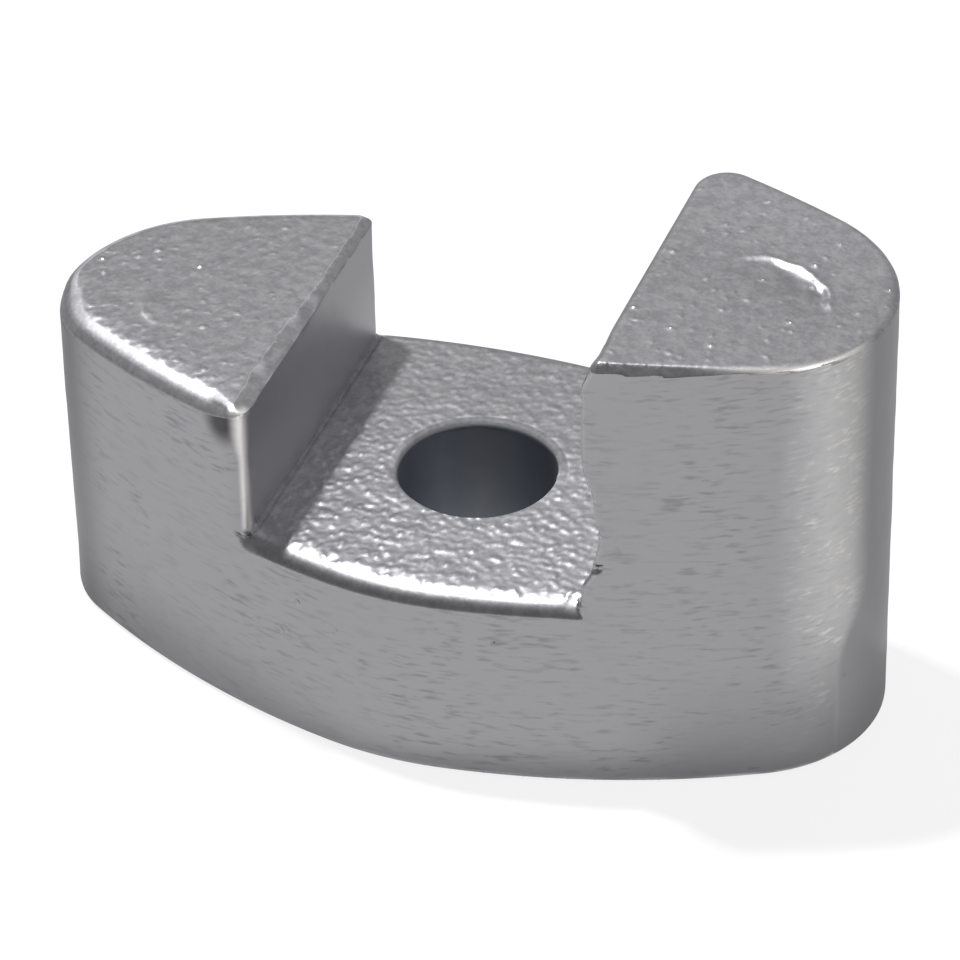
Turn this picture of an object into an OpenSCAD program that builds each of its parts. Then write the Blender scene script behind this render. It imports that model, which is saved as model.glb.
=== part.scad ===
// A sacrificial anode cast in one piece: an oval block with a slot across it, which leaves a low
// lug on the left and a tall lug on the right, and a bolt hole through the floor of the slot.
// It stands on its flat mounting face. The long axis is X, the crowned front face looks to -Y,
// Z is up, and the origin is the middle of the mounting face.

/* [Block outline] */
// Overall length, nose to nose
length = 49; // [47:0.5:55]
// Depth of the crowned front face, from the line between the noses
front_depth = 12.9; // [12.5:0.05:13.8]
// Depth of the back face, from the line between the noses
back_depth = 11.2; // [10.2:0.05:13]
// Radius of the crown in the middle of the front face
crown_r = 21.5; // [18:0.5:24]
// Radius of the two flanks of the front face
flank_r = 51; // [46:1:80]
// Radius of the left nose, towards the front
left_nose_r = 6.3; // [5.5:0.1:7.5]
// Radius of the right nose, towards the front
right_nose_r = 8.4; // [6:0.1:8.8]
// Radius of both noses, towards the back
back_nose_r = 8.2; // [6:0.1:9]

/* [Slot and floor] */
// Width of the slot across the block, at its floor
slot_w = 19.7; // [17:0.1:23]
// Lean of the slot's walls, outwards from the floor, in degrees
slot_draft = 1; // [0:0.25:3]
// Offset of the middle of the slot, to the right of the middle of the block
slot_x = 0.7; // [-1:0.1:1.5]
// Thickness of the floor under the slot
floor_t = 12.4; // [8:0.1:16]
// Rounding of the floor's front and back edges
floor_edge_r = 0.65; // [0.3:0.05:1.2]

/* [Left lug] */
// Height of the left lug beside the slot
left_h = 20.85; // [18.5:0.05:30]
// Fall of its top from the slot to the nose, in degrees
left_fall = 3; // [0:0.5:6]
// Rounding of its upright corners at the slot
left_corner_r = 1.1; // [1:0.1:2]
// Rounding of its top edge
left_edge_r = 0.85; // [0.3:0.05:1]

/* [Right lug] */
// Height of the right lug beside the slot
right_h = 28.7; // [24:0.1:34]
// Fall of its top from the slot to the nose, in degrees
right_fall = 4.3; // [0:0.5:6]
// Rounding of its upright corner at the slot, at the front
right_corner_r = 0.5; // [0.45:0.05:1]
// Rounding of its upright corner at the slot, at the back
right_back_corner_r = 2.2; // [1:0.1:3]
// Rounding of its top edge
right_edge_r = 0.35; // [0.2:0.05:0.4]

/* [Bolt hole] */
// Diameter of the bolt hole
bore_d = 9; // [6.6:0.1:11]
// Rounding of the hole's upper rim
bore_lip_r = 0.5; // [0.2:0.05:0.8]

/* [Hidden] */

// Longest turn and longest chord of one facet on a curved wall, and steps across a rounded edge
facet_turn = 6;
facet_chord = 2;
edge_steps = 4;
quarter = 90;
half_turn = 180;
// How far a cutter reaches past the face that it cuts
overcut = 1;

half_l = length / 2;
// The line between the noses lies behind the origin, so that the origin is in the middle
nose_y = (front_depth - back_depth) / 2;
slot_left = slot_x - slot_w / 2;
slot_right = slot_x + slot_w / 2;
shoulder_z = floor_t - floor_edge_r;

// Centre of the circle that has its own centre r1 from c1 and r2 from c2, on the +Y side
function meet(c1, r1, c2, r2) =
    let (d = norm(c2 - c1), e = (c2 - c1) / d,
         t = (r1 * r1 - r2 * r2 + d * d) / (2 * d),
         h = sqrt(r1 * r1 - t * t),
         n = e.x > 0 ? [-e.y, e.x] : [e.y, -e.x])
    c1 + e * t + n * h;

// Direction from one centre to another, where the inner of two touching circles lies
function aim(from, to) = atan2(to.y - from.y, to.x - from.x);

// Centre of a corner of radius r at the wall x, inside the circle c of radius big
function corner(x, r, c, big, side) =
    [x, c.y + side * sqrt(pow(big - r, 2) - pow(x - c.x, 2))];

left_nose = [left_nose_r - half_l, nose_y];
right_nose = [half_l - right_nose_r, nose_y];
left_back_nose = [back_nose_r - half_l, nose_y];
right_back_nose = [half_l - back_nose_r, nose_y];
crown = [0, nose_y - front_depth + crown_r];
left_flank = meet(left_nose, flank_r - left_nose_r, crown, flank_r - crown_r);
right_flank = meet(crown, flank_r - crown_r, right_nose, flank_r - right_nose_r);
// The back arc touches both noses and reaches back_depth
back_r = (pow(half_l - back_nose_r, 2) + pow(back_depth, 2) - pow(back_nose_r, 2))
    / (2 * (back_depth - back_nose_r));
back = [0, nose_y + back_depth - back_r];
back_turn = aim(back, right_back_nose);

// An outline is a list of arcs [centre, radius, start, end], each touching the next,
// counter-clockwise from above. A lug's outline starts and ends at its slot wall, at x.
function left_outline(x) =
    let (front = corner(x - left_corner_r, left_corner_r, left_flank, flank_r, -1),
         rear = corner(x - left_corner_r, left_corner_r, back, back_r, 1),
         nose_turn = aim(left_flank, left_nose))
    [
        [rear, left_corner_r, 0, aim(back, rear)],
        [back, back_r, aim(back, rear), half_turn - back_turn],
        [left_back_nose, back_nose_r, half_turn - back_turn, half_turn],
        [left_nose, left_nose_r, -half_turn, nose_turn],
        [left_flank, flank_r, nose_turn, aim(left_flank, front)],
        [front, left_corner_r, aim(left_flank, front), 0]
    ];

function right_outline(x) =
    let (front = corner(x + right_corner_r, right_corner_r, right_flank, flank_r, -1),
         rear = corner(x + right_back_corner_r, right_back_corner_r, back, back_r, 1),
         nose_turn = aim(right_flank, right_nose))
    [
        [front, right_corner_r, -half_turn, aim(right_flank, front)],
        [right_flank, flank_r, aim(right_flank, front), nose_turn],
        [right_nose, right_nose_r, nose_turn, 0],
        [right_back_nose, back_nose_r, 0, back_turn],
        [back, back_r, back_turn, aim(back, rear)],
        [rear, right_back_corner_r, aim(back, rear), half_turn]
    ];

// The outer walls of the lugs, without their corners, and the edges of the slot's floor between
function walls(outline) = [for (i = [1 : len(outline) - 2]) outline[i]];
left_wall = walls(left_outline(slot_left));
right_wall = walls(right_outline(slot_right));
front_edge = [
    [left_flank, flank_r, left_wall[len(left_wall) - 1][3], aim(left_flank, crown)],
    [crown, crown_r, aim(left_flank, crown), aim(right_flank, crown)],
    [right_flank, flank_r, aim(right_flank, crown), right_wall[0][2]]
];
back_edge = [[back, back_r, right_wall[len(right_wall) - 1][3], left_wall[0][2]]];
block_outline = concat(right_wall, back_edge, left_wall, front_edge);

function facets(arc) =
    let (turn = abs(arc[3] - arc[2]), run = turn / half_turn * PI * arc[1])
    max(1, ceil(max(turn / facet_turn, run / facet_chord)));

// Point of an arc at the share s of its way, moved inwards by inset
function arc_point(arc, s, inset) =
    let (a = arc[2] + (arc[3] - arc[2]) * s)
    arc[0] + (arc[1] - inset) * [cos(a), sin(a)];

// Points round an outline, with counts facets on its arcs. An open outline, with a straight side
// between its ends, keeps its last point
function outline_points(arcs, inset = 0, open = false, counts = undef) =
    let (n = is_undef(counts) ? [for (arc = arcs) facets(arc)] : counts) [
        for (j = [0 : len(arcs) - 1]) for (i = [0 : n[j] - 1]) arc_point(arcs[j], i / n[j], inset),
        if (open) arc_point(arcs[len(arcs) - 1], 1, inset)
    ];

// Solid through rings of points, each with as many points as the first
module loft(rings) {
    n = len(rings[0]);
    last = len(rings) - 1;
    polyhedron(
        points = [for (ring = rings) each ring],
        faces = [
            [for (i = [0 : n - 1]) i],
            for (j = [0 : last - 1]) for (i = [0 : n - 1])
                let (k = (i + 1) % n)
                each [[j * n + i, (j + 1) * n + k, j * n + k],
                      [j * n + i, (j + 1) * n + i, (j + 1) * n + k]],
            [for (i = [n - 1 : -1 : 0]) last * n + i]
        ]);
}

// Inset and drop below the top, at each step across an edge of radius r
function edge(r) = [for (i = [0 : edge_steps])
    let (a = quarter * i / edge_steps) [r * (1 - cos(a)), r * (1 - sin(a))]];

// A lug on the block, from its outline at the foot of the slot wall to its outline at the top.
// It is h high at the wall, and its top rises by rise for each mm along X
module lug(foot, top, x, h, rise, r) {
    counts = [for (arc = foot) facets(arc)];
    loft([
        [for (p = outline_points(foot, 0, true, counts)) [p.x, p.y, shoulder_z]],
        for (e = edge(r))
            [for (p = outline_points(top, e[0], true, counts))
                [p.x, p.y, h + rise * (p.x - x) - e[1]]]
    ]);
}

module left_lug() {
    top_x = slot_left - (left_h - floor_t) * tan(slot_draft);
    lug(left_outline(slot_left), left_outline(top_x), top_x, left_h, tan(left_fall), left_edge_r);
}

module right_lug() {
    top_x = slot_right + (right_h - floor_t) * tan(slot_draft);
    lug(right_outline(slot_right), right_outline(top_x), top_x, right_h, -tan(right_fall),
        right_edge_r);
}

// The floor between the lugs, rounded along its front and back edges
module slot_floor() {
    loft([for (e = edge(floor_edge_r))
        [for (p = concat(outline_points(front_edge, e[0], true), outline_points(back_edge, e[0], true)))
            [p.x, p.y, floor_t - e[1]]]]);
}

module bolt_hole() {
    translate([slot_x, 0, -overcut]) cylinder(d = bore_d, h = floor_t + 2 * overcut, $fn = 96);
    // Rounded upper rim
    translate([slot_x, 0, floor_t - bore_lip_r])
        rotate_extrude($fn = 96)
            difference() {
                square([bore_d / 2 + bore_lip_r, bore_lip_r + overcut]);
                translate([bore_d / 2 + bore_lip_r, 0]) circle(r = bore_lip_r, $fn = 48);
            }
}

module anode_casting() {
    color([0.6, 0.6, 0.62])
    difference() {
        union() {
            linear_extrude(height = shoulder_z) polygon(outline_points(block_outline));
            slot_floor();
            left_lug();
            right_lug();
        }
        bolt_hole();
    }
}

anode_casting();
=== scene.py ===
"""Looks of the sacrificial anode: one zinc casting, cast all round and ground in front."""
import math
from types import SimpleNamespace

import bmesh
import bpy
from mathutils import Matrix, Vector, noise


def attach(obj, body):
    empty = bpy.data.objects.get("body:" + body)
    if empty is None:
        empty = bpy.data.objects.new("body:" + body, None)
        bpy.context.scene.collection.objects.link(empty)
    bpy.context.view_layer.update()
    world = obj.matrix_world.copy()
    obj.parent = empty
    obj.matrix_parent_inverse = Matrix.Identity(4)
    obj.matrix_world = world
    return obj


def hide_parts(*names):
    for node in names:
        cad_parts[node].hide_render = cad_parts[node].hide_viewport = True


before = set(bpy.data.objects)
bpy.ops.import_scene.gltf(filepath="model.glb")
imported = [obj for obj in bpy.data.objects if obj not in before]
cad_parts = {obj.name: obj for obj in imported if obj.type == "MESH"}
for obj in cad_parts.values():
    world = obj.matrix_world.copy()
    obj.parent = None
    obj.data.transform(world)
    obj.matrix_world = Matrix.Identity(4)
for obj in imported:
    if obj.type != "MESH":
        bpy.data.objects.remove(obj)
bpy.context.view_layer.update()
scene = bpy.context.scene

# The casting is worked out in millimetres, in the part's frame, and shrunk to metres at its end
MM = 0.001
UP = Vector((0, 0, 1))

# The camera that the photograph was fitted with: its place in mm, aim, roll, lens and small shift
CAMERA_PLACE = (82.76, -220.83, 186.14)
CAMERA_AIM = (-0.28046, 0.75119, -0.59754)
CAMERA_ROLL = math.radians(-1.281)
CAMERA_SHIFT = (0.00804, 0.01562)
SENSOR = 36
LENS = 193.46
NEAREST = 0.01
FURTHEST = 20

# Block outline: the front is a crown between two flanks, the back is one flat arc
HALF_LENGTH = 24.5
FRONT_DEPTH = 12.9
BACK_DEPTH = 11.2
CROWN_R = 21.5
FLANK_R = 51.0
LEFT_NOSE_R = 6.3
RIGHT_NOSE_R = 8.4
BACK_NOSE_R = 8.2
NOSE_Y = (FRONT_DEPTH - BACK_DEPTH) / 2

# Slot, floor and bolt hole. The lean of the slot's walls fades away in the lugs behind them
SLOT_LEFT = -9.15
SLOT_RIGHT = 10.55
SLOT_DRAFT = math.radians(1)
LEAN_FADE = 3.0
FLOOR = 12.4
BORE_X = 0.7
BORE_R = 4.5

# Lugs: height beside the slot, and the fall of the top towards the nose
LEFT_TOP = 20.85
LEFT_FALL = math.tan(math.radians(3))
RIGHT_TOP = 28.7
RIGHT_FALL = math.tan(math.radians(4.3))

# Upright corners of the lugs at the slot
LEFT_CORNER = 1.1
RIGHT_FRONT_CORNER = 0.5
RIGHT_BACK_CORNER = 2.2

# Drawing of the outlines: length of a side, fewest sides of an arc, and the gap that is welded
ARC_STEP = 0.5
ARC_SIDES = 12
WELD = 0.01
BORE_SIDES = 160
DRILL_OVERCUT = 2
FAR_OFF = 99.0

# The skin's faces while it is worked, in mm, and the triangles that it keeps
SKIN_STEP = 0.14
SKIN_TRIANGLES = 190000
# Edges that turn by more than this stay sharp to the eye
SHARP_TURN = math.radians(38)

# A fade is a pair: where a change starts, and where it is full. Along X, Y and Z it is in mm. For
# the way that a face looks, it is the share of its normal along that axis. Two more numbers, where
# they are given, are the shares at its start and at its end, in place of 0 and 1

# Rounded rims: how far down and how far in. The floor's front rim has one pair for each end
FLOOR_FRONT_RIM = ((1.5, 1.7), (1.3, 1.5))
FLOOR_BACK_RIM = (0.65, 0.8)
LEFT_BACK_RIM = (0.7, 0.9)
LEFT_FRONT_RIM = (1.15, 1.9)
RIGHT_RIM = (0.35, 0.5)
RIGHT_NOSE_RIM = (0.4, 0.5)
BORE_RIM = (0.5, 0.55)
# Flats that take a sharp rim off, in the same way
LEFT_SLOT_FLATS = ((0.42, 1.15), (0.3, 0.75))
RIGHT_FRONT_FLAT = (0.45, 0.42)
FOOT_FLAT = (0.28, 0.28)
# No rim reaches further down than this, and none that is smaller than the least is rounded
RIM_REACH = 2
RIGHT_RIM_REACH = 1
LEAST_RIM = 0.02

# Where the floor's rims fade at the lugs, on the left and on the right, and their furthest place
FLOOR_FRONT_ENDS = ((SLOT_LEFT - 1.2, SLOT_LEFT - 0.5), (SLOT_RIGHT + 0.5, SLOT_RIGHT - 0.1))
FLOOR_BACK_ENDS = ((SLOT_LEFT - 0.9, SLOT_LEFT - 0.3), (12.6, 11.4))
INSIDE_LUGS = 13
# The bore's rim is widest on one side: which side, the least share, and the fade round the bore
BORE_WORN = Vector((-0.6, 0.8, 0))
BORE_LEAST = 0.3
BORE_FADE = (-0.5, 0.3)
# The left lug's flat at the slot, and its front rim, which tightens towards the corner
LEFT_SLOT_WAY = (-0.35, -0.95)
LEFT_SLOT_X = (SLOT_LEFT - 5, SLOT_LEFT - 3)
LEFT_SLOT_Y = (-3, 4)
LEFT_SLOT_WAVER = 0.15
LEFT_FRONT_WAY = (-0.1, 0.4)
LEFT_TIGHT_X = (-12, -10)
LEFT_TIGHT = 0.35
# The right lug's flat along the left of its front, and its wider rim at the nose
RIGHT_FLAT_X = (20, 15)
RIGHT_FLAT_Y = (-6, -9)
RIGHT_NOSE_X = (15, 19)
RIGHT_NOSE_Y = (0, -3)

# How far a face looks up: for level skin, for the pebbles of the tops, and for upright skin
LEVEL_SKIN = (0.88, 0.97)
FLAT_SKIN = (0.965, 0.992)
UPRIGHT_SKIN = (0.4, 0.1)
# Level faces above this height are the lugs' tops
TOPS_FROM = FLOOR + 3
# Pebbles of the cast skin: height and size on the floor and on the lugs' tops, and small specks
FLOOR_PEBBLES = 0.08
FLOOR_GRAIN = 0.44
TOP_PEBBLES = 0.021
TOP_GRAIN = 0.6
TOP_SPECKS = 0.065
SPECK_SIZE = 0.3
PEBBLE_STRETCH = 1.25
# The floor's pebbles are lower behind, and fade at the left lug's foot
PEBBLES_BACK = (-3, 6)
PEBBLES_LOWER = 0.45
PEBBLES_FOOT = 0.6
# The left top is pebbled more strongly along its front, and the right top less all over
STRONGER = 1.5
STRONGER_DEPTH = (3.2, 1.5)
RIGHT_TOP_SHARE = 0.6
# Waves of the walls (height, size, seed), and how far they sink the skin
WALL_WAVES = ((0.035, 3.2, 3), (0.012, 1.1, 9))
WALL_SINK = 0.035
# Below this height the skin moves only sideways, where the wall looks far enough to a side
LOWER_EDGE = 0.2
LEAST_WAY = 0.3

# Marks of the ejector pins on the lugs: place, radius, step, and the side where it is highest
LEFT_PIN = (Vector((-16.9, -0.65, 0)), 2.3, 0.04, Vector((-0.8, -0.6, 0)))
RIGHT_PIN = (Vector((17.4, -0.6, 0)), 3.6, -0.16, Vector((0.5, 0.87, 0)))
PIN_EDGE = 0.2

# Where the front was ground: behind this line, which leans with X and lies further back high up on
# the right, the noses are as cast. The line is soft on the left and high up
GROUND_Y = -4.1
GROUND_LEAN = 0.02
GROUND_RISE = 1.4
GROUND_STEP = 0.045
GROUND_CRISP = 0.1
GROUND_HIGH = (6, 12)
GROUND_RIGHT = (0, 15)
GROUND_LEFT = (0, -15)

# Pits in the front face: place along X, height and radius
FRONT_PITS = (
    (3.0, 4.5, 0.22), (-6.2, 9.3, 0.3), (-7.35, 6.85, 0.26), (-3.7, 8.3, 0.22), (0.1, 7.7, 0.2),
    (-2.1, 6.8, 0.18), (0.5, 4.55, 0.18), (12.3, 16.4, 0.26), (5.6, 9.6, 0.16),
)
PIT_DEPTH = 0.11
PIT_FLOOR = 0.3
# Only faces that lie in front of this line and look forwards have marks
MARKS_Y = -5
MARKS_WAY = -0.3

# The bite in the right lug's upright front edge: place along X and Z, half sizes, lean and depth
BITE = (11.0, 15.05)
BITE_HALF = (0.8, 0.4)
BITE_LEAN = 0.35
BITE_DEPTH = 0.28
# That edge's strays along X: thin flash above, and low down at the floor, worn away between them
EDGE_REACH = (1.7, 0.2)
EDGE_FRONT = (-8.4, -9.7)
EDGE_FOOT = (FLOOR - 0.9, FLOOR)
HIGH_FLASH = -0.64
HIGH_FLASH_Z = ((19.7, 21.9), (28.9, 26.6))
LOW_FLASH = -0.62
LOW_FLASH_Z = (15.0, 12.9)
EDGE_WORN = 0.4
EDGE_WORN_Z = 17.0
EDGE_WORN_SPREAD = 1.7
EDGE_WAVER = 0.08
# All of it lies to the right of this place, in front of it and above it
EDGE_FROM = (8, -8, FLOOR - 1)

# The lamp, in metres and watts, and what it looks at
LAMP_PLACE = Vector((-0.29, 0.1, 0.95))
LAMP_AIM = Vector((0, 0, 0.012))
LAMP_WIDTH = 0.05
LAMP_POWER = 11
# The room's light in front and behind, and its fade from front to back
ROOM_FRONT = 0.2
ROOM_BACK = 0.45
ROOM_FADE = (-0.35, 0.6)
ROOM_TINT = (0.99, 0.99, 1, 1)
# A window on the right, which lights the right nose's rim, and how it fades along each axis
WINDOW = 2.6
WINDOW_EDGES = {"X": (0.52, 0.7), "Z": (0.45, 0.75), "Y": (0.25, -0.05)}
# The white table: size, own grey, roughness and gloss
TABLE_SIZE = 3
TABLE = 0.14
TABLE_ROUGHNESS = 0.9
TABLE_GLOSS = 0.1
# What the table shows of itself in metal, in front of the anode and behind it, and to the camera.
# In metal the change from front to back is painted light
GLOSS_FRONT = 0.8
GLOSS_BACK = 0.36
CAMERA_LIFT = 0.85
# The anode's spread on the table, where a painted shadow makes it show darker in metal, and the
# fade round it
SPREAD_SCALE = (41, 83, 0)
SPREAD_FADE = (0.95, 1.25)
SPREAD_SHARE = 0.55

# Colours of the finishes
SKIN_DARK = (0.345, 0.345, 0.36)
SKIN_LIGHT = (0.44, 0.44, 0.455)
# The noses' cast tones; the left one is darker partly as painted shade
LEFT_NOSE_TONE_AND_SHADE = (0.24, 0.24, 0.25)
RIGHT_NOSE_TONE = (0.34, 0.34, 0.35)
# Painted shade: for the foot's flat and for a dark reflection under the left lug's corner
SHADE_TONE = (0.08, 0.08, 0.085)
BORE = (0.33, 0.35, 0.385)
# Burnished metal, made pale also to stand in for highlights
BURNISHED_AND_HIGHLIGHT = (0.92, 0.90, 0.87)
EDGE_TINT = (0.88, 0.88, 0.89)
GROUND = (0.355, 0.35, 0.365)
GROUND_DARK = (0.27, 0.27, 0.285)
# The ground front's painted sheen
GROUND_SHEEN = (0.70, 0.69, 0.68)
# Roughness of the cast skin and of the ground front, and what each kind of place adds to it
CAST_ROUGHNESS = 0.29
GROUND_ROUGHNESS = 0.36
LEVEL_ROUGHER = 0.1
WALL_ROUGHER = 0.08
DULL_ROUGHER = 0.35
DULL_RIM = 0.6
BORE_ROUGHER = 0.15
MARKS_ROUGHER = 0.1
EDGE_ROUGHER = 0.25
RIM_SMOOTHER = -0.12
# Fine bumps: height of the cast grain, what level faces add to it, and height of the belt's marks
GRAIN_BUMP = 0.05
LEVEL_BUMP = 0.6
MARKS_BUMP = 0.75
BUMP_DISTANCE = 0.01 * MM
# Size of the cast grain, and of the painted glints of the belt's marks, in mm
GRAIN_SIZE = 0.38
GLINT_LENGTH = 0.8
GLINT_WIDTH = 0.22
# The soft edge of the ground front: its least width, and what a soft place adds to it, in mm
LEAST_SOFT = 0.12
MORE_SOFT = 0.9

# Fades of the finishes: how far a face looks up
UP_UPRIGHT = (0.35, 0.15)
UP_LEVEL = (0.5, 0.9)
# The same for rims: the first fade is where it starts and the second is where it ends
UP_NOSE_RIM = ((0.1, 0.4), (0.97, 0.8))
# The left lug's bright rim is the band of slopes where the lamp's highlight falls, and it gets a
# painted highlight
UP_BRIGHT_RIM = ((0.99, 0.965), (0.8, 0.9))
UP_DULL_RIM = ((0.85, 0.6), (0, 0.3))
# The foot is the flat of the lower edge, which is painted in shade
UP_FOOT = ((-0.2, -0.5), (-0.97, -0.85))
# How far a face looks right: the left lug's wall, its front rim, and the right lug's wavy edge
WALL_WAY = (0.5, 0.8)
LEFT_RIM_WAY = (0.35, 0.15)
WAVY_EDGE_WAY = (-0.1, -0.5)
# Along X: the same places, the noses from the middle, and the right nose's rim
WALL_X = (0, -5)
LEFT_RIM_X = (-8, -10)
WAVY_EDGE_X = (8, 9)
NOSES_X = (13, 20)
NOSE_RIM_X = (16, 20)
# Round the bore: how far past its wall its own finish and its rim's end
BORE_END = (0.2, 0.05)
LIP_END = (0.8, 0.5)
LIP_Y = (-2, 2)
# The nook between the floor and the left lug's wall
NOOK_FADE = (0.3, 0.1)
# The bright corner of the left lug, burnished metal that also stands in for a highlight: its reach
# low down and at the top, and where that changes
BRIGHT_CORNER_REACH = (0.5, 0.95)
BRIGHT_CORNER_FULL = 0.05
BRIGHT_CORNER_Z = (17, 19.5)
BRIGHT_CORNER_FOOT = (FLOOR - 0.2, FLOOR + 0.4)
WAVY_EDGE_SHARE = 0.3
# Painted light: the cast skin is painted paler from the left nose to the right one, as if lit more
# from the right
PAINTED_LIGHT_X = (-22, 22, 0.95, 1.06)
# Painted light added to that: up the slot's wall, most low down, behind on the right, and in front
# on the floor
WALL_PAINTED_LIGHT = (13, 19, 0.68, 0.33)
BEHIND_PAINTED_LIGHT = (0, 9, 0, 0.14)
BEHIND_PAINTED_LIGHT_X = (5, 15)
FLOOR_PAINTED_LIGHT = (-2, 7, 0.17, 0)
# Painted shade in the nook and round the back of the bore's rim, and a painted highlight on the
# left lug's front rim
NOOK_PAINTED_SHADE = -0.08
LIP_PAINTED_SHADE = -0.5
RIM_PAINTED_HIGHLIGHT = 0.9
# Tone of the slot's wall, which isn't mottled, and where one nose's tone gives way to the other's
WALL_TONE = 0.35
NOSE_TONES_X = (-10, 10)
# The ground front: clouds that its dull marks lie in, and patches that its bright ones lie in
CLOUD_SCALE = 0.2
CLOUDS = (0.42, 0.6, 0.1, 0.95)
PATCH_SCALE = 0.55
PATCHES = (0.42, 0.62, 0.1, 1)
# The painted sheen of the ground front, a bright upright band that stands in for a reflection, and
# the place low down on its right that is darker towards the bottom
SHINE_X = (19.9, 23.6, 0, 0.95)
BAND_X = (19.9, 24, 0, 0.75)
SHINE_Z = (3, 11, 0.2, 1)
LOW_DARKER_X = (11, 16)
LOW_DARKER_Z = (9, 2, 0, 0.5)
# The painted dark reflection under the corner of the left lug's top: place, fade and shape
DARK_REFLECTION = (-10.75, -9.8, 19.7)
DARK_REFLECTION_FADE = (1.6, 0.3)
DARK_REFLECTION_SCALE = (1, 0.5, 0.8)


def meet(c1, r1, c2, r2):
    """Centre that lies r1 from c1 and r2 from c2, on the back's side of both."""
    span = c2 - c1
    d = span.length
    along = span / d
    t = (r1 * r1 - r2 * r2 + d * d) / (2 * d)
    across = Vector((-along.y, along.x, 0)) * (1 if along.x > 0 else -1)
    return c1 + along * t + across * math.sqrt(r1 * r1 - t * t)


def aim(a, b):
    """Direction from a to b seen from above, in degrees."""
    return math.degrees(math.atan2(b.y - a.y, b.x - a.x))


LEFT_NOSE = Vector((LEFT_NOSE_R - HALF_LENGTH, NOSE_Y, 0))
RIGHT_NOSE = Vector((HALF_LENGTH - RIGHT_NOSE_R, NOSE_Y, 0))
LEFT_BACK_NOSE = Vector((BACK_NOSE_R - HALF_LENGTH, NOSE_Y, 0))
RIGHT_BACK_NOSE = Vector((HALF_LENGTH - BACK_NOSE_R, NOSE_Y, 0))
CROWN = Vector((0, NOSE_Y - FRONT_DEPTH + CROWN_R, 0))
LEFT_FLANK = meet(LEFT_NOSE, FLANK_R - LEFT_NOSE_R, CROWN, FLANK_R - CROWN_R)
RIGHT_FLANK = meet(CROWN, FLANK_R - CROWN_R, RIGHT_NOSE, FLANK_R - RIGHT_NOSE_R)
BACK_R = ((HALF_LENGTH - BACK_NOSE_R) ** 2 + BACK_DEPTH ** 2 - BACK_NOSE_R ** 2) / (
    2 * (BACK_DEPTH - BACK_NOSE_R))
BACK = Vector((0, NOSE_Y + BACK_DEPTH - BACK_R, 0))

# Outlines are lists of touching arcs (centre, radius, start, end), counter-clockwise from above
BACK_TURN = aim(BACK, RIGHT_BACK_NOSE)
LEFT_TURN = aim(LEFT_FLANK, LEFT_NOSE)
RIGHT_TURN = aim(RIGHT_FLANK, RIGHT_NOSE)
BLOCK_OUTLINE = [
    (RIGHT_BACK_NOSE, BACK_NOSE_R, 0, BACK_TURN),
    (BACK, BACK_R, BACK_TURN, 180 - BACK_TURN),
    (LEFT_BACK_NOSE, BACK_NOSE_R, 180 - BACK_TURN, 180),
    (LEFT_NOSE, LEFT_NOSE_R, 180, 360 + LEFT_TURN),
    (LEFT_FLANK, FLANK_R, LEFT_TURN, aim(LEFT_FLANK, CROWN)),
    (CROWN, CROWN_R, aim(LEFT_FLANK, CROWN), aim(RIGHT_FLANK, CROWN)),
    (RIGHT_FLANK, FLANK_R, aim(RIGHT_FLANK, CROWN), RIGHT_TURN),
    (RIGHT_NOSE, RIGHT_NOSE_R, RIGHT_TURN, 0),
]


def corner(x, r, centre, big, side):
    """Centre of a corner of radius r at x that touches a big arc from inside."""
    return Vector((x, centre.y + side * math.sqrt((big - r) ** 2 - (x - centre.x) ** 2), 0))


def left_lug_outline():
    """From the back of its slot wall round the nose to the front of that wall."""
    front = corner(SLOT_LEFT - LEFT_CORNER, LEFT_CORNER, LEFT_FLANK, FLANK_R, -1)
    rear = corner(SLOT_LEFT - LEFT_CORNER, LEFT_CORNER, BACK, BACK_R, 1)
    return [
        (rear, LEFT_CORNER, 0, aim(BACK, rear)),
        (BACK, BACK_R, aim(BACK, rear), 180 - BACK_TURN),
        BLOCK_OUTLINE[2],
        BLOCK_OUTLINE[3],
        (LEFT_FLANK, FLANK_R, LEFT_TURN, aim(LEFT_FLANK, front)),
        (front, LEFT_CORNER, aim(LEFT_FLANK, front), 0),
    ]


def right_lug_outline():
    """From the front of its slot wall round the nose to the back of that wall."""
    front = corner(SLOT_RIGHT + RIGHT_FRONT_CORNER, RIGHT_FRONT_CORNER, RIGHT_FLANK, FLANK_R, -1)
    rear = corner(SLOT_RIGHT + RIGHT_BACK_CORNER, RIGHT_BACK_CORNER, BACK, BACK_R, 1)
    return [
        (front, RIGHT_FRONT_CORNER, 180, aim(RIGHT_FLANK, front)),
        (RIGHT_FLANK, FLANK_R, aim(RIGHT_FLANK, front), RIGHT_TURN),
        BLOCK_OUTLINE[7],
        BLOCK_OUTLINE[0],
        (BACK, BACK_R, BACK_TURN, aim(BACK, rear)),
        (rear, RIGHT_BACK_CORNER, aim(BACK, rear), 180),
    ]


LEFT_OUTLINE = left_lug_outline()
RIGHT_OUTLINE = right_lug_outline()


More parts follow.
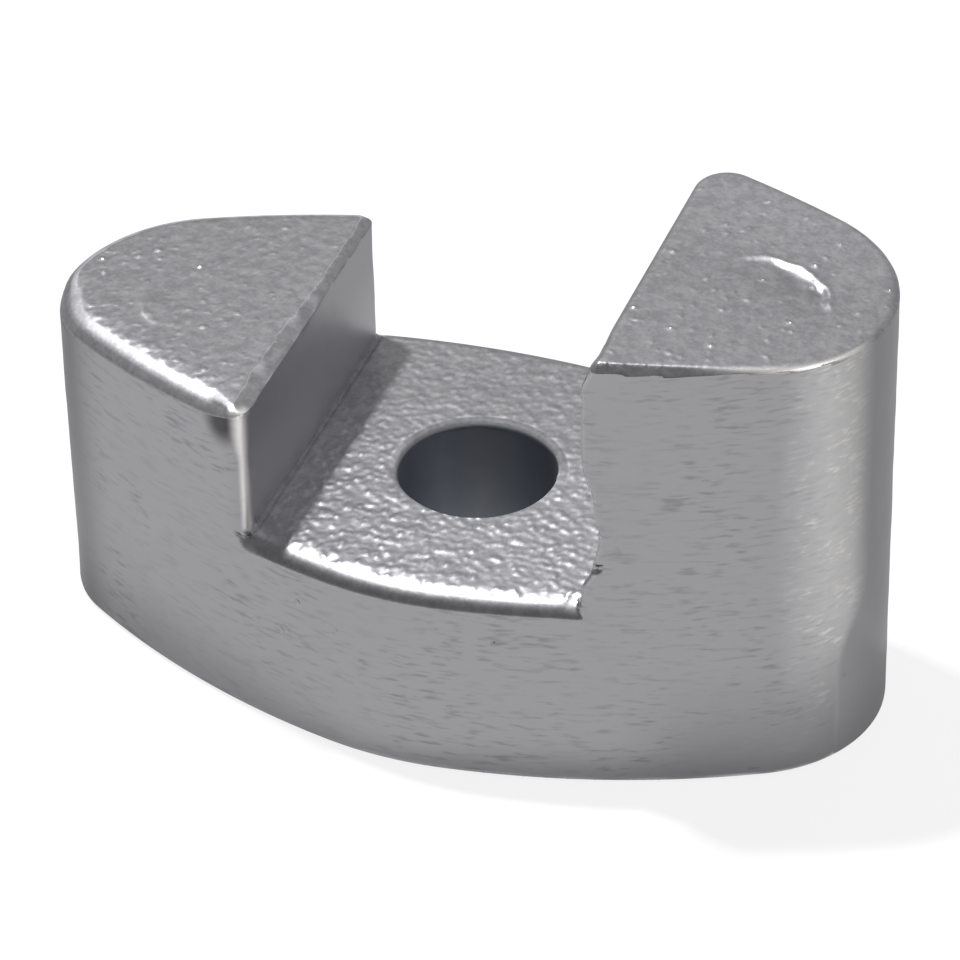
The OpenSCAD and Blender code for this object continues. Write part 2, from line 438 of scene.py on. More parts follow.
def photo_camera():
    """Places the camera, turns it to its aim and rolls it."""
    data = bpy.data.cameras.new("photo_camera")
    camera = bpy.data.objects.new("photo_camera", data)
    scene.collection.objects.link(camera)
    ahead = Vector(CAMERA_AIM).normalized()
    right = ahead.cross(UP).normalized()
    above = right.cross(ahead)
    turned = right * math.cos(CAMERA_ROLL) + above * math.sin(CAMERA_ROLL)
    above = above * math.cos(CAMERA_ROLL) - right * math.sin(CAMERA_ROLL)
    rows = [(turned[i], above[i], -ahead[i], CAMERA_PLACE[i] * MM) for i in range(3)]
    camera.matrix_world = Matrix((*rows, (0, 0, 0, 1)))
    data.sensor_width = SENSOR
    data.lens = LENS
    data.shift_x, data.shift_y = CAMERA_SHIFT
    data.clip_start = NEAREST
    data.clip_end = FURTHEST
    scene.camera = camera


def node(tree, kind, *wires, **settings):
    """Adds a node. A wire is (input, value or output); a setting is one of its own properties."""
    made = tree.nodes.new("ShaderNode" + kind)
    for name, value in settings.items():
        setattr(made, name, value)
    for name, value in wires:
        if isinstance(value, bpy.types.NodeSocket):
            tree.links.new(value, made.inputs[name])
        else:
            made.inputs[name].default_value = value
    return made


def math_node(tree, operation, *values):
    """The result of a Math node."""
    return node(tree, "Math", *enumerate(values), operation=operation).outputs[0]


def times(tree, first, *others):
    """The product of some values."""
    for other in others:
        first = math_node(tree, "MULTIPLY", first, other)
    return first


def larger(tree, a, b):
    """The larger of two values."""
    return math_node(tree, "MAXIMUM", a, b)


def raised(tree, base, *changes):
    """A base value, with each change added where its mask is 1."""
    for mask, change in changes:
        base = math_node(tree, "MULTIPLY_ADD", mask, change, base)
    return base


def between(tree, value, low, high, start=0.0, end=1.0):
    """start where value is at low, end where it is at high, and a smooth change between."""
    return node(tree, "MapRange", (0, value), (1, low), (2, high), (3, start), (4, end),
                interpolation_type="SMOOTHSTEP").outputs[0]


def band(tree, value, rise, fall):
    """1 between two fades, and 0 outside them."""
    return times(tree, between(tree, value, *rise), between(tree, value, *fall))


def studio():
    """White table that keeps the anode's shadow, a room that is lighter behind, and one lamp."""
    bm = bmesh.new()
    bmesh.ops.create_grid(bm, x_segments=1, y_segments=1, size=TABLE_SIZE)
    table = as_object(bm, "white_table")
    table.data.materials.append(white_paper())
    scene.view_settings.view_transform = "Standard"

    world = bpy.data.worlds.new("room")
    scene.world = world
    world.use_nodes = True
    tree = world.node_tree
    sky = node(tree, "SeparateXYZ", (0, node(tree, "TexCoord").outputs["Generated"])).outputs
    light = between(tree, sky["Y"], *ROOM_FADE, ROOM_FRONT, ROOM_BACK)
    window = times(tree, *(between(tree, sky[a], *fade) for a, fade in WINDOW_EDGES.items()))
    background = tree.nodes["Background"].inputs
    tree.links.new(raised(tree, light, (window, WINDOW)), background["Strength"])
    background["Color"].default_value = ROOM_TINT
    high_lamp()


def high_lamp():
    """Small square lamp, high up on the left, that looks at the middle of the anode."""
    data = bpy.data.lights.new("high_lamp", "AREA")
    data.shape = "SQUARE"
    data.size = LAMP_WIDTH
    data.energy = LAMP_POWER
    made = bpy.data.objects.new("high_lamp", data)
    made.location = LAMP_PLACE
    made.rotation_euler = (LAMP_AIM - LAMP_PLACE).to_track_quat("-Z", "Y").to_euler()
    scene.collection.objects.link(made)


def white_paper():
    """Paper, lifted to plain white for the camera and for gloss; for gloss the lift is painted
    light and shade, less behind and under the anode.
    """
    material = bpy.data.materials.new("white_paper")
    material.use_nodes = True
    tree = material.node_tree
    shader = tree.nodes["Principled BSDF"].inputs
    shader["Base Color"].default_value = (TABLE, TABLE, TABLE, 1)
    shader["Roughness"].default_value = TABLE_ROUGHNESS
    shader["Specular IOR Level"].default_value = TABLE_GLOSS
    path = node(tree, "LightPath").outputs
    # Distance from the middle, where 1 is about the block's own outline
    place = node(tree, "TexCoord").outputs["Object"]
    place = node(tree, "Mapping", (0, place), ("Scale", SPREAD_SCALE)).outputs[0]
    ring = node(tree, "VectorMath", (0, place), operation="LENGTH").outputs["Value"]
    away = between(tree, ring, *SPREAD_FADE, SPREAD_SHARE, 1)
    depth = node(tree, "SeparateXYZ", (0, place)).outputs["Y"]
    shown = times(tree, away, between(tree, depth, -1, 1, GLOSS_FRONT, GLOSS_BACK))
    glossy = larger(tree, path["Is Glossy Ray"], path["Is Transmission Ray"])
    lift = raised(tree, times(tree, glossy, shown), (path["Is Camera Ray"], CAMERA_LIFT))
    tree.links.new(lift, shader["Emission Strength"])
    shader["Emission Color"].default_value = (1, 1, 1, 1)
    return material


def draw(bm, arcs):
    """Draws touching arcs by spinning a point round one centre after the other, and closes them."""
    centre, radius, start, _ = arcs[0]
    first = tip = bm.verts.new(centre + radius * Vector(
        (math.cos(math.radians(start)), math.sin(math.radians(start)), 0)))
    for centre, radius, start, end in arcs:
        turn = math.radians((end - start) % 360)
        out = bmesh.ops.spin(bm, geom=[tip], cent=centre, axis=UP, angle=turn,
                             steps=max(ARC_SIDES, round(turn * radius / ARC_STEP)))
        tip = [g for g in out["geom_last"] if isinstance(g, bmesh.types.BMVert)][0]
    if (tip.co - first.co).length < WELD:
        bmesh.ops.remove_doubles(bm, verts=[first, tip], dist=WELD)
    else:
        side = bm.edges.new((tip, first))
        cuts = round(side.calc_length() / ARC_STEP)
        bmesh.ops.subdivide_edges(bm, edges=[side], cuts=cuts)


def lift_faces(bm, height):
    """Extrudes the drawn faces straight up into a closed solid and returns its top."""
    out = bmesh.ops.extrude_face_region(bm, geom=bm.faces[:])["geom"]
    bmesh.ops.translate(bm, vec=(0, 0, height),
                        verts=[g for g in out if isinstance(g, bmesh.types.BMVert)])
    bmesh.ops.recalc_face_normals(bm, faces=bm.faces)
    return [g for g in out if isinstance(g, bmesh.types.BMFace)]


def shell(outline, height):
    """A closed solid over an outline, and its top face's corners."""
    bm = bmesh.new()
    draw(bm, outline)
    bmesh.ops.contextual_create(bm, geom=bm.edges[:])
    top = lift_faces(bm, height)
    return bm, {v for f in top for v in f.verts}


def lug(outline, x, height, rise, lean):
    """A lug that stands through the block: its slot wall leans, and its top slopes to the nose."""
    bm, top = shell(outline, height)
    for v in top:
        v.co.z += rise * (v.co.x - x)
        v.co.x += lean_at(v.co, x, lean)
    return bm


def lean_at(p, x, lean):
    """How far a lug's side at the slot, at x, has leant at a point. It fades into the lug."""
    return max(0.0, 1 - abs(p.x - x) / LEAN_FADE) * (p.z - FLOOR) * lean


def drill():
    """What the bolt hole takes away."""
    bm = bmesh.new()
    bmesh.ops.create_cone(bm, cap_ends=True, segments=BORE_SIDES, radius1=BORE_R, radius2=BORE_R,
                          depth=FLOOR + 2 * DRILL_OVERCUT,
                          matrix=Matrix.Translation((BORE_X, 0, FLOOR / 2)))
    return bm


def to_wall(outline, p):
    """How deep a point lies behind the nearest arc of an outline, and the way inwards."""
    best = (FAR_OFF, UP)
    for centre, radius, start, end in outline:
        out = Vector((p.x - centre.x, p.y - centre.y, 0))
        if (aim(centre, p) - start) % 360 <= (end - start) % 360:
            here = (radius - out.length, -out.normalized())
            best = min(best, here, key=lambda wall: wall[0])
    return best


def rounded(at, size):
    """A spot near a sharp rim, (down, in) from it, moved onto a rounding of that size."""
    if min(size) < LEAST_RIM or at.x >= size[0] or at.y >= size[1]:
        return at
    away = Vector((at.x / size[0] - 1, at.y / size[1] - 1)).normalized()
    return Vector(((away.x + 1) * size[0], (away.y + 1) * size[1]))


def flattened(at, size):
    """A spot near a sharp rim, (down, in) from it, moved onto the flat that takes the rim off."""
    over = 1 - at.x / size[0] - at.y / size[1]
    if over <= 0:
        return at
    normal = Vector((1 / size[0], 1 / size[1]))
    return at + normal * (over / normal.length_squared)


def blend(a, b, share):
    """A size between two sizes."""
    return [u + (v - u) * share for u, v in zip(a, b)]


def floor_rim(p):
    """Size of the floor's rounding, which ends at the lugs."""
    size, ends = FLOOR_BACK_RIM, FLOOR_BACK_ENDS
    if p.y <= 0:
        size = blend(*FLOOR_FRONT_RIM, smooth(SLOT_LEFT, SLOT_RIGHT, p.x))
        ends = FLOOR_FRONT_ENDS
    return blend((0, 0), size, smooth(*ends[0], p.x) * smooth(*ends[1], p.x))


def lug_side(p, outline, x, lean, towards):
    """How deep a point lies behind a lug's nearest side, and the way inwards. The wall is at x."""
    leant = lean_at(p, x, lean)
    inset, inwards = to_wall(outline, p - Vector((leant, 0, 0)))
    at_slot = (p.x - x - leant) * towards
    ends = sorted((outline[0][0].y, outline[-1][0].y))
    if at_slot < inset and ends[0] < p.y < ends[1]:
        return at_slot, Vector((towards, 0, 0))
    return inset, inwards


def ease_left(p, at, inwards):
    """The left lug's rim: widely rounded in front, a narrow flat at the slot, rounded behind."""
    to = rounded(at, LEFT_BACK_RIM)
    slot = smooth(*LEFT_SLOT_WAY, inwards.x) * smooth(*LEFT_SLOT_X, p.x)
    front = smooth(*LEFT_FRONT_WAY, inwards.y) * (1 - slot)
    if front:
        tight = 1 - LEFT_TIGHT * smooth(*LEFT_TIGHT_X, p.x)
        to = to.lerp(rounded(at, [v * tight for v in LEFT_FRONT_RIM]), front)
    if slot:
        size = blend(*LEFT_SLOT_FLATS, smooth(*LEFT_SLOT_Y, p.y))
        waver = 1 + LEFT_SLOT_WAVER * rough(p, 1.3, 31)
        to = to.lerp(flattened(at, [v * waver for v in size]), slot)
    return to


def ease_right(p, at, inwards):
    """The right lug's rim: finely rounded, with a flat along the left of its front."""
    share = smooth(*RIGHT_FLAT_Y, p.y) * smooth(*RIGHT_FLAT_X, p.x)
    nose = smooth(*RIGHT_NOSE_X, p.x) * smooth(*RIGHT_NOSE_Y, p.y)
    to = rounded(at, blend(RIGHT_RIM, RIGHT_NOSE_RIM, nose))
    return to.lerp(flattened(at, RIGHT_FRONT_FLAT), share)


def ease_bore(at, inwards):
    """The bore's rim, rounded most on its worn side."""
    share = BORE_LEAST + (1 - BORE_LEAST) * smooth(*BORE_FADE, inwards.dot(BORE_WORN))
    return rounded(at, [v * share for v in BORE_RIM])


def ease_rim(p):
    """A point of the sharp blank, moved onto the easing of the rim that it is near."""
    down = -UP
    if p.z < FOOT_FLAT[0]:
        inset, inwards = to_wall(BLOCK_OUTLINE, p)
        at, down = Vector((p.z, inset)), UP
        to = flattened(at, FOOT_FLAT)
    elif p.z < FLOOR + WELD:
        around = Vector((p.x - BORE_X, p.y, 0))
        if p.z < FLOOR - RIM_REACH or abs(p.x) > INSIDE_LUGS:
            return p
        if around.length < BORE_R + BORE_RIM[1]:
            at, inwards = Vector((FLOOR - p.z, around.length - BORE_R)), around.normalized()
            to = ease_bore(at, inwards)
        else:
            inset, inwards = to_wall(BLOCK_OUTLINE, p)
            at = Vector((FLOOR - p.z, inset))
            to = rounded(at, floor_rim(p))
    elif p.x < BORE_X:
        drop = LEFT_TOP + LEFT_FALL * (p.x - SLOT_LEFT) - p.z
        if drop > RIM_REACH:
            return p
        inset, inwards = lug_side(p, LEFT_OUTLINE, SLOT_LEFT, -math.tan(SLOT_DRAFT), -1)
        at = Vector((drop, inset))
        to = ease_left(p, at, inwards)
    else:
        drop = RIGHT_TOP - RIGHT_FALL * (p.x - SLOT_RIGHT) - p.z
        if drop > RIGHT_RIM_REACH:
            return p
        inset, inwards = lug_side(p, RIGHT_OUTLINE, SLOT_RIGHT, math.tan(SLOT_DRAFT), 1)
        at = Vector((drop, inset))
        to = ease_right(p, at, inwards)
    return p + down * (to.x - at.x) + inwards * (to.y - at.y)


def as_object(bm, name):
    """A new object in the scene, made of a worked mesh."""
    mesh = bpy.data.meshes.new(name)
    bm.to_mesh(mesh)
    bm.free()
    piece = bpy.data.objects.new(name, mesh)
    scene.collection.objects.link(piece)
    return piece


def apply_modifiers(piece):
    """Makes a piece's modifiers part of its mesh."""
    evaluated = piece.evaluated_get(bpy.context.evaluated_depsgraph_get())
    mesh = bpy.data.meshes.new_from_object(evaluated)
    piece.modifiers.clear()
    piece.data = mesh


def join_lugs():
    """The blank of the casting: block and lugs joined with sharp rims, and drilled."""
    lean = math.tan(SLOT_DRAFT)
    piece = as_object(shell(BLOCK_OUTLINE, FLOOR)[0], "blank")
    left = as_object(lug(LEFT_OUTLINE, SLOT_LEFT, LEFT_TOP, LEFT_FALL, -lean), "left")
    right = as_object(lug(RIGHT_OUTLINE, SLOT_RIGHT, RIGHT_TOP, -RIGHT_FALL, lean), "right")
    tool = as_object(drill(), "drill")
    for other in (left, right, tool):
        join = piece.modifiers.new("join", "BOOLEAN")
        join.operation = "DIFFERENCE" if other is tool else "UNION"
        join.solver = "EXACT"
        join.object = other
    apply_modifiers(piece)
    for other in (left, right, tool):
        bpy.data.objects.remove(other)
    return piece


def smooth(low, high, value):
    """0 below low, 1 above high, and a smooth rise between. It falls where low is above high."""
    t = min(1.0, max(0.0, (value - low) / (high - low)))
    return t * t * (3 - 2 * t)


def hump(value, middle, width):
    """1 in the middle, and falling off to 0 about two widths away."""
    return math.exp(-((value - middle) / width) ** 2)


def rough(p, size, seed=0.0):
    """Noise from -1 to 1 with lumps of that size in mm."""
    return noise.noise(Vector((p.x / size + seed, p.y / size - seed, p.z / size + 2 * seed)))


def pebbles(p, size):
    """Skin of metal that froze against a rough mould: close round pebbles of that size in mm."""
    spot = Vector((p.x / size, p.y / (PEBBLE_STRETCH * size), 0))
    nearest = noise.voronoi(spot)[0][0]
    lumps = 0.35 * rough(p, 2.2 * size, 7) + 0.3 * rough(p, 2.2, 13) + 0.35 * rough(p, 0.31, 19)
    return 0.5 - smooth(0, 0.7, nearest) + lumps


def pin_mark(p, pin):
    """Ragged step that an ejector pin left, which dies away on one side."""
    place, radius, step, side = pin
    from_pin = Vector((p.x - place.x, p.y - place.y, 0))
    away = from_pin.length + 0.2 * rough(p, 0.8, 21)
    step *= smooth(0, 0.95 * radius, from_pin.dot(side)) * (1 + 1.2 * rough(p, 1.4, 23))
    rise = smooth(radius + PIN_EDGE, radius - PIN_EDGE, away)
    return step * (rise - 0.4 * hump(away, radius, 0.25))


def ground(p):
    """1 on the ground front and 0 on the cast noses. The line between is crisp low on the right."""
    soft = max(smooth(*GROUND_LEFT, p.x), smooth(*GROUND_HIGH, p.z))
    line = GROUND_Y + GROUND_LEAN * p.x + 0.12 * rough(Vector((0, 0, p.z)), 2.5, 5)
    line += GROUND_RISE * smooth(*GROUND_HIGH, p.z) * smooth(*GROUND_RIGHT, p.x)
    return smooth(line + GROUND_CRISP + soft, line - GROUND_CRISP - soft, p.y)


def front_marks(p):
    """Pits, and the bite in the right lug's upright edge."""
    depth = 0.0
    for x, z, radius in FRONT_PITS:
        away = math.hypot(p.x - x, p.z - z)
        if away < radius:
            depth -= PIT_DEPTH * smooth(radius, PIT_FLOOR * radius, away)
    x, z = BITE
    over = p.z - z - BITE_LEAN * (p.x - x)
    bite = math.hypot((p.x - x) / BITE_HALF[0], over / BITE_HALF[1])
    return depth - BITE_DEPTH * smooth(1.0, 0.1, bite)


def top_skin(p, level, flat):
    """Skin of a lug's top: pebbles, a few specks and the mark of its ejector pin."""
    fine, pin = RIGHT_TOP_SHARE, RIGHT_PIN
    if p.x < 0:
        near_front = smooth(*STRONGER_DEPTH, to_wall(LEFT_OUTLINE, p)[0]) if p.y < -2 else 0.0
        fine, pin = 1 + STRONGER * near_front, LEFT_PIN
    depth = flat * TOP_PEBBLES * fine * pebbles(p, TOP_GRAIN)
    depth += flat * TOP_SPECKS * smooth(0.45, 0.7, rough(p, SPECK_SIZE, 41))
    return depth + level * pin_mark(p, pin)


def floor_skin(p, level):
    """Pebbles of the slot's floor."""
    height = FLOOR_PEBBLES * (1 - PEBBLES_LOWER * smooth(*PEBBLES_BACK, p.y))
    height *= smooth(SLOT_LEFT, SLOT_LEFT + PEBBLES_FOOT, p.x)
    return level * height * pebbles(p, FLOOR_GRAIN)


def skin_depth(p, n):
    """How far the skin lies over the smooth blank at a point, in mm."""
    level = smooth(*LEVEL_SKIN, n.z)
    upright = smooth(*UPRIGHT_SKIN, abs(n.z))
    depth = 0.0
    if level and p.z > TOPS_FROM:
        depth += top_skin(p, level, smooth(*FLAT_SKIN, n.z))
    elif level:
        depth += floor_skin(p, level)
    if upright:
        waves = sum(height * rough(p, size, seed) for height, size, seed in WALL_WAVES)
        depth += upright * (waves - WALL_SINK)
        depth -= upright * GROUND_STEP * ground(p)
    if p.y < MARKS_Y and n.y < MARKS_WAY:
        depth += front_marks(p)
    return depth


def edge_wave(p):
    """How far the right lug's upright front edge strays along X: flash above, worn away below."""
    wall = SLOT_RIGHT + (p.z - FLOOR) * math.tan(SLOT_DRAFT)
    near_edge = smooth(*EDGE_REACH, abs(p.x - wall)) * smooth(*EDGE_FRONT, p.y)
    near_edge *= smooth(*EDGE_FOOT, p.z)
    low, high = HIGH_FLASH_Z
    flash = HIGH_FLASH * smooth(*low, p.z) * smooth(*high, p.z)
    flash += LOW_FLASH * smooth(*LOW_FLASH_Z, p.z)
    worn = EDGE_WORN * hump(p.z, EDGE_WORN_Z, EDGE_WORN_SPREAD)
    return near_edge * (flash + worn + EDGE_WAVER * rough(p, 0.8, 17))


def work_skin(piece):
    """Cuts the blank into small even faces, gives it its cast skin and thins the plain places."""
    blank = piece.copy()
    blank.data = piece.data.copy()
    scene.collection.objects.link(blank)
    cut = piece.modifiers.new("cut", "REMESH")
    cut.mode = "VOXEL"
    cut.voxel_size = SKIN_STEP
    hug = piece.modifiers.new("hug", "SHRINKWRAP")
    hug.target = blank
    hug.wrap_method = "NEAREST_SURFACEPOINT"
    apply_modifiers(piece)
    bpy.data.objects.remove(blank)

    bm = bmesh.new()
    bm.from_mesh(piece.data)
    for v in bm.verts:
        v.co = ease_rim(v.co)
    bm.normal_update()
    for v in bm.verts:
        at = v.co.copy()
        out = v.normal.copy()
        if at.z < LOWER_EDGE:
            # The lower edge moves with the wall over it, and the underside not at all
            out.z = 0
        if out.length > LEAST_WAY:
            v.co += out.normalized() * skin_depth(at, out.normalized())
        if at.x > EDGE_FROM[0] and at.y < EDGE_FROM[1] and at.z > EDGE_FROM[2]:
            v.co.x += edge_wave(at)
    bm.to_mesh(piece.data)
    bm.free()
    thin = piece.modifiers.new("thin", "DECIMATE")
    thin.ratio = SKIN_TRIANGLES / (2 * len(piece.data.polygons))
    apply_modifiers(piece)


def casting():
    """The whole anode, in metres and in one piece."""
    piece = join_lugs()
    work_skin(piece)
    piece.name = "zinc_casting"
    bm = bmesh.new()
    bm.from_mesh(piece.data)
    bmesh.ops.scale(bm, vec=(MM, MM, MM), verts=bm.verts)
    for f in bm.faces:
        f.smooth = True
    for e in bm.edges:
        e.smooth = e.calc_face_angle(0) < SHARP_TURN
    bm.to_mesh(piece.data)
    bm.free()
    piece.data.materials.append(cast_zinc())
    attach(piece, "root")
    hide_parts("anode_casting")


def new_group(name, **sockets):
    """An empty node group. A socket's value is its default for an input, and None for an output."""
    group = bpy.data.node_groups.new(name, "ShaderNodeTree")
    for socket, value in sockets.items():
        kind = "NodeSocketVector" if socket == "Place" else "NodeSocketFloat"
        made = group.interface.new_socket(socket, in_out="OUTPUT" if value is None else "INPUT",
                                          socket_type=kind)
        if isinstance(value, float):
            made.default_value = value
    given = group.nodes.new("NodeGroupInput").outputs
    return group, given, group.nodes.new("NodeGroupOutput").inputs


def clouds(tree, place, scale, detail=3.0, grit=0.5):
    """Soft noise about one half. A larger scale makes smaller lumps."""
    return node(tree, "TexNoise", ("Vector", place), ("Scale", scale), ("Detail", detail),
                ("Roughness", grit)).outputs[0]


def cast_grain_group():
    """Pebbled skin of the casting: close round pebbles in a finer grain. Place is in mm."""
    group, given, made = new_group("cast_grain", Place=(), Size=0.4, Height=None, Tone=None)
    scaled = node(group, "VectorMath", (0, given["Place"]), operation="SCALE")
    group.links.new(math_node(group, "DIVIDE", 1.0, given["Size"]), scaled.inputs["Scale"])
    place = scaled.outputs[0]
    pebble = node(group, "TexVoronoi", ("Vector", place), ("Scale", 1.0), ("Smoothness", 0.6),
                  feature="SMOOTH_F1").outputs["Distance"]
    fine = clouds(group, place, 1.6, grit=0.6)
    broad = clouds(group, place, 0.5)
    height = math_node(group, "SUBTRACT", fine, times(group, pebble, 0.7))
    group.links.new(height, made["Height"])
    tone = between(group, math_node(group, "ADD", fine, broad), 0.75, 1.25)
    group.links.new(tone, made["Tone"])
    return group


def ground_marks_group():
    """Level marks of the belt on the ground front. Place is in mm."""
    group, given, made = new_group("ground_marks", Place=(), Length=1.3, Width=0.25, Height=None,
                                   Dark=None, Bright=None)
    parts = node(group, "SeparateXYZ", (0, given["Place"])).outputs
    sizes = {"X": given["Length"], "Y": given["Length"], "Z": given["Width"]}
    along = [math_node(group, "DIVIDE", parts[a], size) for a, size in sizes.items()]
    place = node(group, "CombineXYZ", *enumerate(along)).outputs[0]
    marks = []
    for shift in (0, 31, 67):
        moved = node(group, "VectorMath", (0, place), (1, (shift, 0, shift)), operation="ADD")
        marks.append(clouds(group, moved.outputs[0], 1.0, detail=2.0))
    group.links.new(marks[0], made["Height"])
    group.links.new(between(group, marks[1], 0.48, 0.76), made["Dark"])
    group.links.new(between(group, marks[2], 0.46, 0.72), made["Bright"])
    return group


def near(tree, place, spot, far, close, scale=(1, 1, 0)):
    """1 within close of a spot and 0 past far. A scale of 0 makes the spot a line on that axis."""
    moved = node(tree, "VectorMath", (0, place), (1, [-v for v in spot]), operation="ADD")
    scaled = node(tree, "VectorMath", (0, moved.outputs[0]), (1, scale), operation="MULTIPLY")
    away = node(tree, "VectorMath", (0, scaled.outputs[0]), operation="LENGTH").outputs["Value"]
    return between(tree, away, far, close)


def mix(tree, amount, a, b):
    """Colour a where the amount is 0, and colour b where it is 1."""
    made = node(tree, "Mix", ("Factor", amount), data_type="RGBA")
    for socket, value in ((made.inputs[6], a), (made.inputs[7], b)):
        if isinstance(value, bpy.types.NodeSocket):
            tree.links.new(value, socket)
        else:
            socket.default_value = (*value, 1)
    return made.outputs[2]


def choose(tree, mask, a, b):
    """Value a where the mask is 0, and value b where it is 1."""
    return node(tree, "Mix", (0, mask), (2, a), (3, b)).outputs[0]


def ground_side(tree, x, y, z):
    """1 in front of the line that the grinding reached, and 0 behind it."""
    high = between(tree, z, *GROUND_HIGH)
    line = math_node(tree, "MULTIPLY_ADD", x, GROUND_LEAN, GROUND_Y)
    rise = times(tree, high, between(tree, x, *GROUND_RIGHT, 0, GROUND_RISE))
    line = math_node(tree, "ADD", line, rise)
    soft = larger(tree, between(tree, x, *GROUND_LEFT), high)
    soft = raised(tree, LEAST_SOFT, (soft, MORE_SOFT))
    past = math_node(tree, "DIVIDE", math_node(tree, "SUBTRACT", y, line), soft)
    return between(tree, past, 1, -1)


def zones(tree, place):
    """Where a point is, and masks that are 1 on one kind of place and 0 elsewhere."""
    x, y, z = node(tree, "SeparateXYZ", (0, place)).outputs
    normal = node(tree, "NewGeometry").outputs["Normal"]
    right, _, up = node(tree, "SeparateXYZ", (0, normal)).outputs
    on = SimpleNamespace(x=x, y=y, z=z)

    # The upright faces: the slot's wall on the left lug, the ground front and the cast noses
    upright = between(tree, math_node(tree, "ABSOLUTE", up), *UP_UPRIGHT)
    front = ground_side(tree, x, y, z)
    on.wall = times(tree, upright, between(tree, right, *WALL_WAY), between(tree, x, *WALL_X))
    on.ground = times(tree, math_node(tree, "SUBTRACT", upright, on.wall), front)
    on.nose = times(tree, upright, between(tree, math_node(tree, "ABSOLUTE", x), *NOSES_X))

    # The level faces and what lies in them
    on.level = between(tree, up, *UP_LEVEL)
    on.floor = times(tree, on.level, between(tree, z, TOPS_FROM, TOPS_FROM - 1))
    middle = (BORE_X, 0, 0)
    on.bore = near(tree, place, middle, *(BORE_R + end for end in BORE_END))
    lip = near(tree, place, middle, *(BORE_R + end for end in LIP_END))
    lip = math_node(tree, "SUBTRACT", lip, on.bore)
    on.lip = times(tree, lip, between(tree, y, *LIP_Y))
    on.nook = near(tree, place, (SLOT_LEFT, 0, FLOOR), *NOOK_FADE, (1, 0, 1))

    # The rims: the left lug's in front, the right nose's, the wavy edge and the lower edge, whose
    # flat is painted in shade
    left = between(tree, x, *LEFT_RIM_X)
    on.bright_rim = times(tree, band(tree, up, *UP_BRIGHT_RIM),
                          between(tree, right, *LEFT_RIM_WAY), left)
    on.dull_rim = times(tree, band(tree, up, *UP_DULL_RIM), left)
    on.rim = times(tree, band(tree, up, *UP_NOSE_RIM), front, between(tree, x, *NOSE_RIM_X))
    on.edge = times(tree, on.ground, between(tree, right, *WAVY_EDGE_WAY),
                    between(tree, x, *WAVY_EDGE_X))
    on.foot = band(tree, up, *UP_FOOT)

    # Burnished metal that also stands in for highlights: the left lug's corner at the slot, and
    # some of the rims
    centre = LEFT_OUTLINE[-1][0]
    reach = LEFT_CORNER * math.sqrt(0.5)
    far = between(tree, z, *BRIGHT_CORNER_Z, *BRIGHT_CORNER_REACH)
    strip = near(tree, place, (centre.x + reach, centre.y - reach, 0), far,
                 BRIGHT_CORNER_FULL)
    strip = times(tree, strip, between(tree, z, *BRIGHT_CORNER_FOOT))
    on.burnished = larger(tree, larger(tree, strip, on.rim),
                          times(tree, on.edge, WAVY_EDGE_SHARE))
    return on


def cast_tone(tree, on, mottle):
    """Colour of the cast skin: mottled, plain on the noses and in the bore, with painted light and
    shade in places.
    """
    nose = mix(tree, between(tree, on.x, *NOSE_TONES_X), LEFT_NOSE_TONE_AND_SHADE, RIGHT_NOSE_TONE)
    tone = mix(tree, choose(tree, on.wall, mottle, WALL_TONE), SKIN_DARK, SKIN_LIGHT)
    tone = mix(tree, on.bore, mix(tree, on.nose, tone, nose), BORE)
    behind = times(tree, between(tree, on.y, *BEHIND_PAINTED_LIGHT), between(tree, on.x, *BEHIND_PAINTED_LIGHT_X))
    painted_light_and_shade = raised(
        tree, between(tree, on.x, *PAINTED_LIGHT_X),
        (on.wall, between(tree, on.z, *WALL_PAINTED_LIGHT)),
        (on.level, behind),
        (on.floor, between(tree, on.y, *FLOOR_PAINTED_LIGHT)),
        (on.nook, NOOK_PAINTED_SHADE),
        (on.lip, LIP_PAINTED_SHADE),
        (on.bright_rim, RIM_PAINTED_HIGHLIGHT))
    scaled = node(tree, "VectorMath", (0, tone), operation="SCALE")
    tree.links.new(painted_light_and_shade, scaled.inputs["Scale"])
    return scaled.outputs[0]


def ground_tone(tree, place, on, dark, bright):
    """Colour of the ground front: dull marks, a painted sheen in an upright band on the right, and
    a painted dark reflection.
    """
    dull = times(tree, dark, between(tree, clouds(tree, place, CLOUD_SCALE), *CLOUDS))
    low_right = times(tree, between(tree, on.x, *LOW_DARKER_X), between(tree, on.z, *LOW_DARKER_Z))
    dull = larger(tree, dull, low_right)
    patch = between(tree, clouds(tree, place, PATCH_SCALE), *PATCHES)
    shine = times(tree, bright, patch, between(tree, on.x, *SHINE_X))
    shine = math_node(tree, "ADD", shine, between(tree, on.x, *BAND_X))
    shine = times(tree, shine, between(tree, on.z, *SHINE_Z))
    tone = mix(tree, shine, mix(tree, dull, GROUND, GROUND_DARK), GROUND_SHEEN)
    return mix(tree, near(tree, place, DARK_REFLECTION, *DARK_REFLECTION_FADE, DARK_REFLECTION_SCALE), tone, SHADE_TONE)


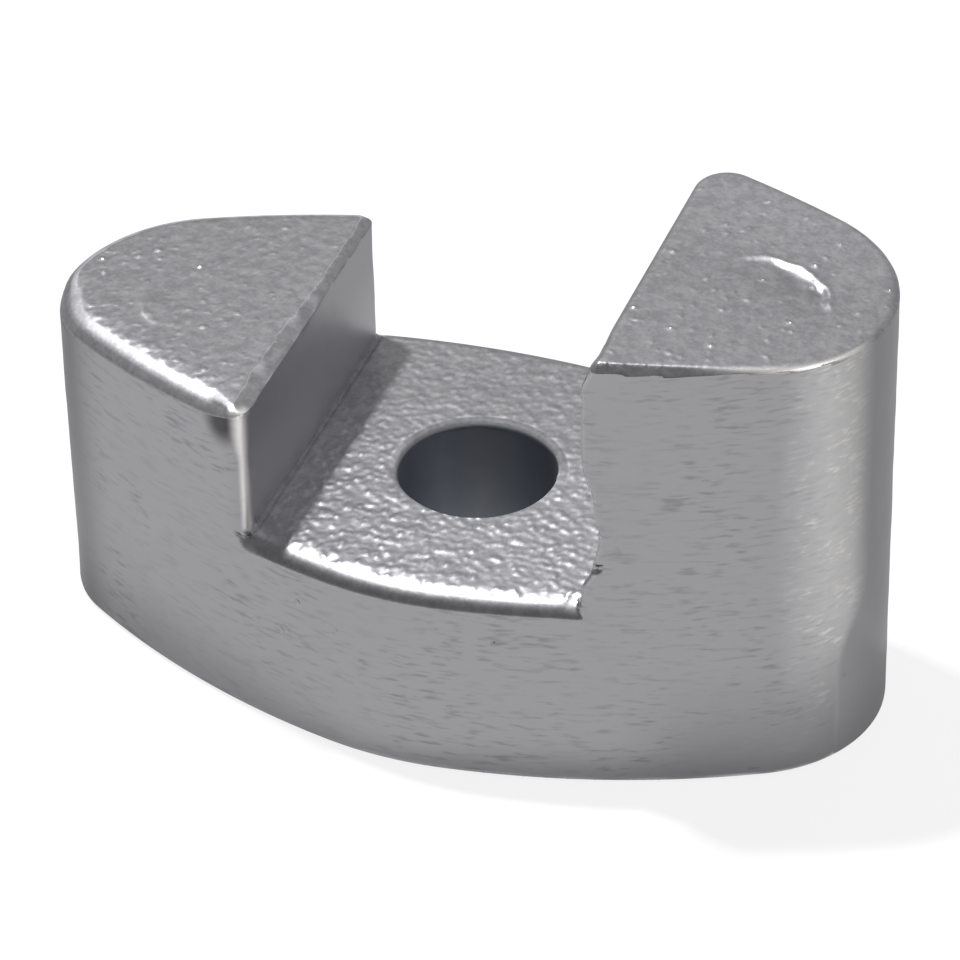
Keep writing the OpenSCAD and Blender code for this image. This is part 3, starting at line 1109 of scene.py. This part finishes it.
def cast_zinc():
    """Zinc: pebbled where it was cast, dulled by level belt marks where its front was ground."""
    material = bpy.data.materials.new("cast_zinc")
    material.use_nodes = True
    tree = material.node_tree
    shader = tree.nodes["Principled BSDF"].inputs
    place = node(tree, "TexCoord").outputs["Object"]
    place = node(tree, "Mapping", (0, place), ("Scale", (1 / MM, 1 / MM, 1 / MM))).outputs[0]
    on = zones(tree, place)
    grain = node(tree, "Group", ("Place", place), ("Size", GRAIN_SIZE),
                 node_tree=cast_grain_group()).outputs
    belt = ground_marks_group()
    marks = node(tree, "Group", ("Place", place), node_tree=belt).outputs
    glints = node(tree, "Group", ("Place", place), ("Length", GLINT_LENGTH),
                  ("Width", GLINT_WIDTH), node_tree=belt).outputs

    worked = ground_tone(tree, place, on, marks["Dark"], glints["Bright"])
    tone = mix(tree, on.ground, cast_tone(tree, on, grain["Tone"]), worked)
    # Painted shade on the foot's flat, and burnished metal that also stands in for highlights
    tone = mix(tree, on.foot, mix(tree, on.burnished, tone, BURNISHED_AND_HIGHLIGHT), SHADE_TONE)
    tree.links.new(tone, shader["Base Color"])
    shader["Metallic"].default_value = 1
    shader["Specular Tint"].default_value = (*EDGE_TINT, 1)

    dull = larger(tree, larger(tree, on.lip, on.nook), times(tree, on.dull_rim, DULL_RIM))
    cast = raised(tree, CAST_ROUGHNESS, (on.level, LEVEL_ROUGHER), (on.wall, WALL_ROUGHER),
                  (dull, DULL_ROUGHER), (on.bore, BORE_ROUGHER))
    worked = raised(tree, GROUND_ROUGHNESS, (marks["Dark"], MARKS_ROUGHER),
                    (on.edge, EDGE_ROUGHER), (on.rim, RIM_SMOOTHER))
    tree.links.new(choose(tree, on.ground, cast, worked), shader["Roughness"])

    cast = times(tree, grain["Height"], raised(tree, GRAIN_BUMP, (on.level, LEVEL_BUMP)))
    height = choose(tree, on.ground, cast, times(tree, marks["Height"], MARKS_BUMP))
    bump = node(tree, "Bump", ("Strength", 1.0), ("Distance", BUMP_DISTANCE), ("Height", height))
    tree.links.new(bump.outputs[0], shader["Normal"])
    return material


photo_camera()
studio()
casting()
